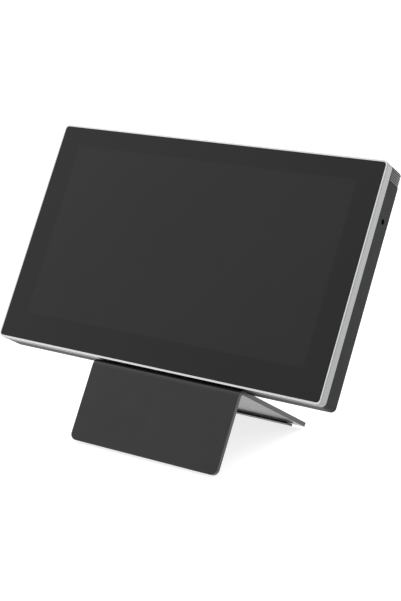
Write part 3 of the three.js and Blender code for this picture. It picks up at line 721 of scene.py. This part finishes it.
def folded(x, s, t):
    """Where a point of the flat blank goes: s along it from the foot's edge, t into the sheet."""
    if s <= FOOT_LENGTH:
        return Vector((x, STAND_LO.y + t, STAND_LO.z + s))
    if s <= FOOT_LENGTH + FOLD_LENGTH:
        angle = math.radians(90) * (s - FOOT_LENGTH) / FOLD_LENGTH
        reach = BEND - t
        return Vector((x, AXIS_Y - reach * math.cos(angle), AXIS_Z + reach * math.sin(angle)))
    return Vector((x, AXIS_Y + s - FOOT_LENGTH - FOLD_LENGTH, STAND_HI.z - t))


def flat_blank():
    """The sheet before it is folded, with its four corners rounded."""
    foot, end = 0, BLANK_LENGTH
    corners = (
        (STAND_HI.x, -1, foot, 1, FOOT_CORNER),
        (STAND_HI.x, -1, end, -1, ARM_CORNER),
        (STAND_LO.x, 1, end, -1, ARM_CORNER),
        (STAND_LO.x, 1, foot, 1, FOOT_CORNER),
    )
    bm = bmesh.new()
    outline = []
    for i, (x, inward_x, s, inward_s, r) in enumerate(corners):
        centre = (x + inward_x * r, s + inward_s * r)
        for point in quarter_turn(*centre, r, -90 + 90 * i, SHEET_CORNER_STEPS):
            outline.append(bm.verts.new((*point, 0)))
    extruded(bm, outline, (0, 0, SHEET))
    return mesh_object("folded_stand", bm, Matrix())


def blank_cutters():
    """The knuckles' slots and the countersunk screw holes, in the flat blank."""
    cutters = []
    half = HINGE_WIDTH / 2 + GAP
    arm_start = FOOT_LENGTH + FOLD_LENGTH
    slot = (FOOT_LENGTH + SLOT_START * FOLD_LENGTH, arm_start + NECK_BACK + MM)
    for hand in HANDS:
        x = middle("hinge_knuckle_" + hand).x
        through = (-OVERSHOOT, SHEET + OVERSHOOT)
        cutters.append(block(x - half, x + half, *slot, *through, Matrix()))
    for i in SCREWS:
        screw = middle(f"stand_screw_{i}")
        s = arm_start + screw.y - AXIS_Y
        in_sheet, on_face = Vector((screw.x, s, SHEET / 2)), Vector((screw.x, s, 0))
        cutters.append(bar(STAND_SCREW_HOLE, STAND_SCREW_CUT, in_sheet, "z", 32, Matrix()))
        cutters.append(bar(STAND_SCREW_HEAD, 2 * STAND_HEAD_DEPTH, on_face, "z", 40, Matrix()))
    return cutters


def make_stand():
    """Cut and edge the flat blank, split it into strips across the fold, then fold it."""
    sheet = flat_blank()
    carve(sheet, blank_cutters())
    soften(sheet, SHEET_EDGE, 3)
    bm = bmesh.new()
    bm.from_mesh(sheet.data)
    for k in range(FOLD_STRIPS + 1):
        line = (0, FOOT_LENGTH + FOLD_LENGTH * k / FOLD_STRIPS, 0)
        everything = bm.verts[:] + bm.edges[:] + bm.faces[:]
        bmesh.ops.bisect_plane(bm, geom=everything, plane_co=line, plane_no=(0, 1, 0))
    for v in bm.verts:
        v.co = folded(*v.co)
    bmesh.ops.recalc_face_normals(bm, faces=bm.faces)
    bm.to_mesh(sheet.data)
    bm.free()
    sheet.matrix_world = LEANING
    soften(sheet, 0)
    finish_piece(sheet, "stand", "stand_plate", stand_paint)


# ------------------------------------------------------------------ screws


def recess_cutter(centre, top, head_height):
    """A six-lobed recess, sunk most of the way through a screw head."""
    bm = bmesh.new()
    outline = []
    for k in range(LOBE_SIDES):
        angle = 2 * math.pi * k / LOBE_SIDES
        radius = CASE_SCREW_HEAD * (LOBE_MIDDLE + LOBE_SWING * math.cos(LOBES * angle))
        x, z = centre.x + radius * math.cos(angle), centre.z + radius * math.sin(angle)
        outline.append(bm.verts.new((x, top + OVERSHOOT, z)))
    extruded(bm, outline, (0, -OVERSHOOT - RECESS_SUNK * head_height, 0))
    return mesh_object("cutter", bm)


def make_case_screw(number):
    """A domed screw head with a six-lobed recess, low in its counterbore."""
    node = f"case_screw_{number}"
    lo, hi = local_box(node)
    centre = (lo + hi) / 2
    seat = SHELL_HI.y - COUNTERBORE_DEPTH + GAP
    head, shank, height = CASE_SCREW_HEAD, CASE_SCREW_SHANK, hi.y - seat
    profile = [(0.0, height)]
    for k in range(1, DOME_STEPS + 1):
        angle = math.radians(90) * k / DOME_STEPS
        rise = HEAD_RIM + (1 - HEAD_RIM) * math.cos(angle)
        profile.append((head * math.sin(angle), height * rise))
    profile += [(head, 0.0), (shank, 0.0), (shank, lo.y - seat), (0.0, lo.y - seat)]
    bm = bmesh.new()
    verts = [bm.verts.new((r, y, 0)) for r, y in profile]
    edges = [bm.edges.new(pair) for pair in zip(verts, verts[1:])]
    bmesh.ops.spin(
        bm,
        geom=verts + edges,
        cent=(0, 0, 0),
        axis=(0, 1, 0),
        angle=2 * math.pi,
        steps=SCREW_SIDES,
        use_merge=True,
    )
    bmesh.ops.remove_doubles(bm, verts=bm.verts, dist=MERGE_DISTANCE)
    bmesh.ops.translate(bm, verts=bm.verts, vec=(centre.x, seat, centre.z))
    screw = mesh_object(node + "_finished", bm)
    carve(screw, [recess_cutter(centre, hi.y, height)])
    soften(screw, CASE_SCREW_EDGE, segments=1, angle=40)
    finish_piece(screw, "display", node, steel_dark)


# ------------------------------------------------------------------ pieces that keep their CAD shape

REFINED = [  # node, body, material, edge rounding
    ("arm_pad", "stand", pad_skin, 0.25 * MM),
    ("foot_pad", "stand", pad_skin, 0.25 * MM),
    ("power_button", "power_key", key_metal, 0.3 * MM),
    ("volume_down_button", "volume_down_key", key_plastic, 0.3 * MM),
    ("volume_up_button", "volume_up_key", key_plastic, 0.3 * MM),
    ("vent_fins_left", "display", fin_metal, 0.08 * MM),
    ("vent_fins_right", "display", fin_metal, 0.08 * MM),
    ("rest_bumper_left", "display", rubber_black, 0.3 * MM),
    ("rest_bumper_right", "display", rubber_black, 0.3 * MM),
    ("hinge_knuckle_left", "display", steel_dark, 0.2 * MM),
    ("hinge_knuckle_right", "display", steel_dark, 0.2 * MM),
    ("hinge_pin_left", "stand", steel_plain, 0.1 * MM),
    ("hinge_pin_right", "stand", steel_plain, 0.1 * MM),
    ("audio_jack", "display", inner_plastic, 0.12 * MM),
    ("power_socket", "display", steel_plain, 0.1 * MM),
]
REFINED += [(f"hinge_cheek_{i}", "stand", steel_dark, 0.3 * MM) for i in range(1, 5)]  # two a hinge

# ------------------------------------------------------------------ floor and light

FLOOR_HALF, FLOOR_SHIFT = 9, 3  # metres, and how far its middle lies behind the stand
FLOOR_DROP = 0.2 * MM  # keeps the floor just clear of the pads
BRIGHT_SIDE = (-0.667, 0.726, 0.167)
DOME_LEVEL, DOME_SLOPE = 0.8, 0.8  # brightness square to BRIGHT_SIDE, and how it grows towards it
DOME_SPAN = (-0.5, 0.5)  # cosines to BRIGHT_SIDE between which it grows
HORIZON_LEVEL = 1.1  # as bright as the floor, so that no line shows where they meet
HORIZON_START, HORIZON_END = 0.05, 0.30  # heights on the unit dome
SOFT_BOXES = (  # name, place, size, watts
    ("side_box", (1.8, 0.6, 0.9), (1.0, 1.0), 5),
    ("back_box", (0.3, 1.8, 1.2), (1.8, 1.2), 22),
)
LIGHT_TARGET = (0, 0, 0.1)


def make_floor():
    """A pale table top that glows a little, like a lit translucent sweep, so shadows stay soft."""
    bm = bmesh.new()
    bmesh.ops.create_grid(bm, x_segments=8, y_segments=8, size=FLOOR_HALF)
    floor = mesh_object("floor", bm, Matrix.Translation((0, FLOOR_SHIFT, -FLOOR_DROP)))
    glow = {"Emission_Color": (1, 1, 1, 1), "Emission_Strength": 0.78}
    s = Shader("pale_floor", Specular_IOR_Level=0.1, **glow)
    s.colour(s.mix(s.span(s.noise(3, 3), 0, 1), grey(0.50), grey(0.52)))
    s.roughness(s.span(s.noise(4, 3), 0.75, 0.85))
    floor.data.materials.append(s.material)


def area_light(name, place, size, power):
    data = bpy.data.lights.new(name, "AREA")
    data.shape = "RECTANGLE"
    data.size, data.size_y = size
    data.energy = power
    lamp = bpy.data.objects.new(name, data)
    bpy.context.scene.collection.objects.link(lamp)
    lamp.location = place
    aim = Vector(LIGHT_TARGET) - Vector(place)
    lamp.rotation_mode = "QUATERNION"
    lamp.rotation_quaternion = aim.to_track_quat("-Z", "Y")


def map_range(tree, source, from_range, to_range, smooth=False):
    node = tree.nodes.new("ShaderNodeMapRange")
    if smooth:
        node.interpolation_type = "SMOOTHSTEP"
    node.inputs["From Min"].default_value, node.inputs["From Max"].default_value = from_range
    node.inputs["To Min"].default_value, node.inputs["To Max"].default_value = to_range
    tree.links.new(source, node.inputs["Value"])
    return node.outputs["Result"]


def make_dome():
    """A soft grey dome, brighter towards the back left and white at the horizon."""
    world = bpy.data.worlds.new("studio")
    bpy.context.scene.world = world
    world.use_nodes = True
    tree = world.node_tree
    background = tree.nodes["Background"]
    background.inputs["Color"].default_value = (1, 1, 1, 1)

    facing = tree.nodes.new("ShaderNodeTexCoord")
    towards = tree.nodes.new("ShaderNodeVectorMath")
    towards.operation = "DOT_PRODUCT"
    towards.inputs[1].default_value = BRIGHT_SIDE
    tree.links.new(facing.outputs["Generated"], towards.inputs[0])
    levels = (DOME_LEVEL - DOME_SLOPE / 2, DOME_LEVEL + DOME_SLOPE / 2)
    level = map_range(tree, towards.outputs["Value"], DOME_SPAN, levels)

    split = tree.nodes.new("ShaderNodeSeparateXYZ")
    height = tree.nodes.new("ShaderNodeMath")
    height.operation = "ABSOLUTE"
    tree.links.new(facing.outputs["Generated"], split.inputs[0])
    tree.links.new(split.outputs["Z"], height.inputs[0])
    heights = (HORIZON_START, HORIZON_END)
    horizon = map_range(tree, height.outputs[0], heights, (HORIZON_LEVEL, 0), smooth=True)

    brighter = tree.nodes.new("ShaderNodeMath")
    brighter.operation = "MAXIMUM"
    tree.links.new(horizon, brighter.inputs[0])
    tree.links.new(level, brighter.inputs[1])
    tree.links.new(brighter.outputs[0], background.inputs["Strength"])


# ------------------------------------------------------------------ the whole scene

make_camera()
clothe_cad_nodes()
make_glass()
make_frame()
make_shell()
make_stand()
for screw_number in SCREWS:
    make_case_screw(screw_number)
for node_name, body, material, edge_width in REFINED:
    finish_piece(refined(node_name, edge_width), body, node_name, material)
make_floor()
make_dome()
for soft_box in SOFT_BOXES:
    area_light(*soft_box)
bpy.context.scene.view_settings.view_transform = "Standard"

bpy.context.view_layer.update()
